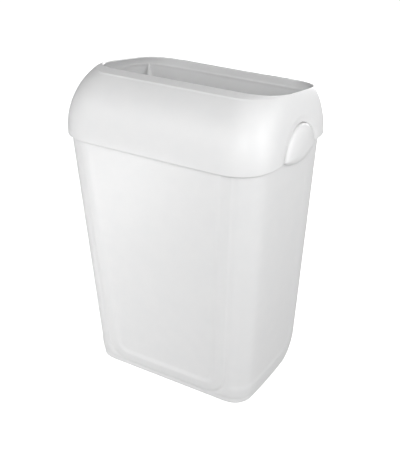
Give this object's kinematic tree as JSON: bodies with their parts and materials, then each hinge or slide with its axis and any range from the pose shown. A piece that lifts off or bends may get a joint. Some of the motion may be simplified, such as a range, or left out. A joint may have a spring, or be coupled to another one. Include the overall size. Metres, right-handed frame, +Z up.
{
  "type": "waste bin",
  "caption": "Tall tapered plastic waste bin with a domed open-topped lift-off cover, a hinged inner bag ring and rubber feet.",
  "frame": {"origin": "on the ground under the middle of the bin's box, at the underside of the feet", "axes": "+Z up, front of the bin towards -Y, back towards +Y, +X to the right seen from the front"},
  "size_m": [0.419, 0.285, 0.5862],
  "materials": {
    "body_plastic": "white moulded polypropylene, satin gloss",
    "cover_plastic": "white moulded polypropylene, satin gloss",
    "cap_plastic": "white moulded polypropylene, gloss",
    "ring_plastic": "pale grey moulded plastic",
    "bush_nylon": "natural nylon",
    "pin_steel": "turned stainless steel",
    "clip_steel": "spring steel",
    "foot_rubber": "black rubber"
  },
  "bodies": {
    "bin": {"bin_body": "body_plastic", "left_side_cap": "cap_plastic", "right_side_cap": "cap_plastic", "left_ring_pin": "pin_steel", "right_ring_pin": "pin_steel", "left_ring_bush": "bush_nylon", "right_ring_bush": "bush_nylon", "left_pin_clip": "clip_steel", "right_pin_clip": "clip_steel", "front_left_foot": "foot_rubber", "front_right_foot": "foot_rubber", "rear_left_foot": "foot_rubber", "rear_right_foot": "foot_rubber"},
    "cover": {"cover": "cover_plastic"},
    "bag_ring": {"bag_ring": "ring_plastic"}
  },
  "joints": [
    {"name": "cover_lift", "type": "slide", "parent": "bin", "child": "cover", "axis": [0, 0, 1], "range_m": [0, 0.15]},
    {"name": "bag_ring_tilt", "type": "hinge", "parent": "bin", "child": "bag_ring", "pos_m": [0, 0.013, 0.469], "axis": [-1, 0, 0], "range_deg": [0, 35]}
  ]
}
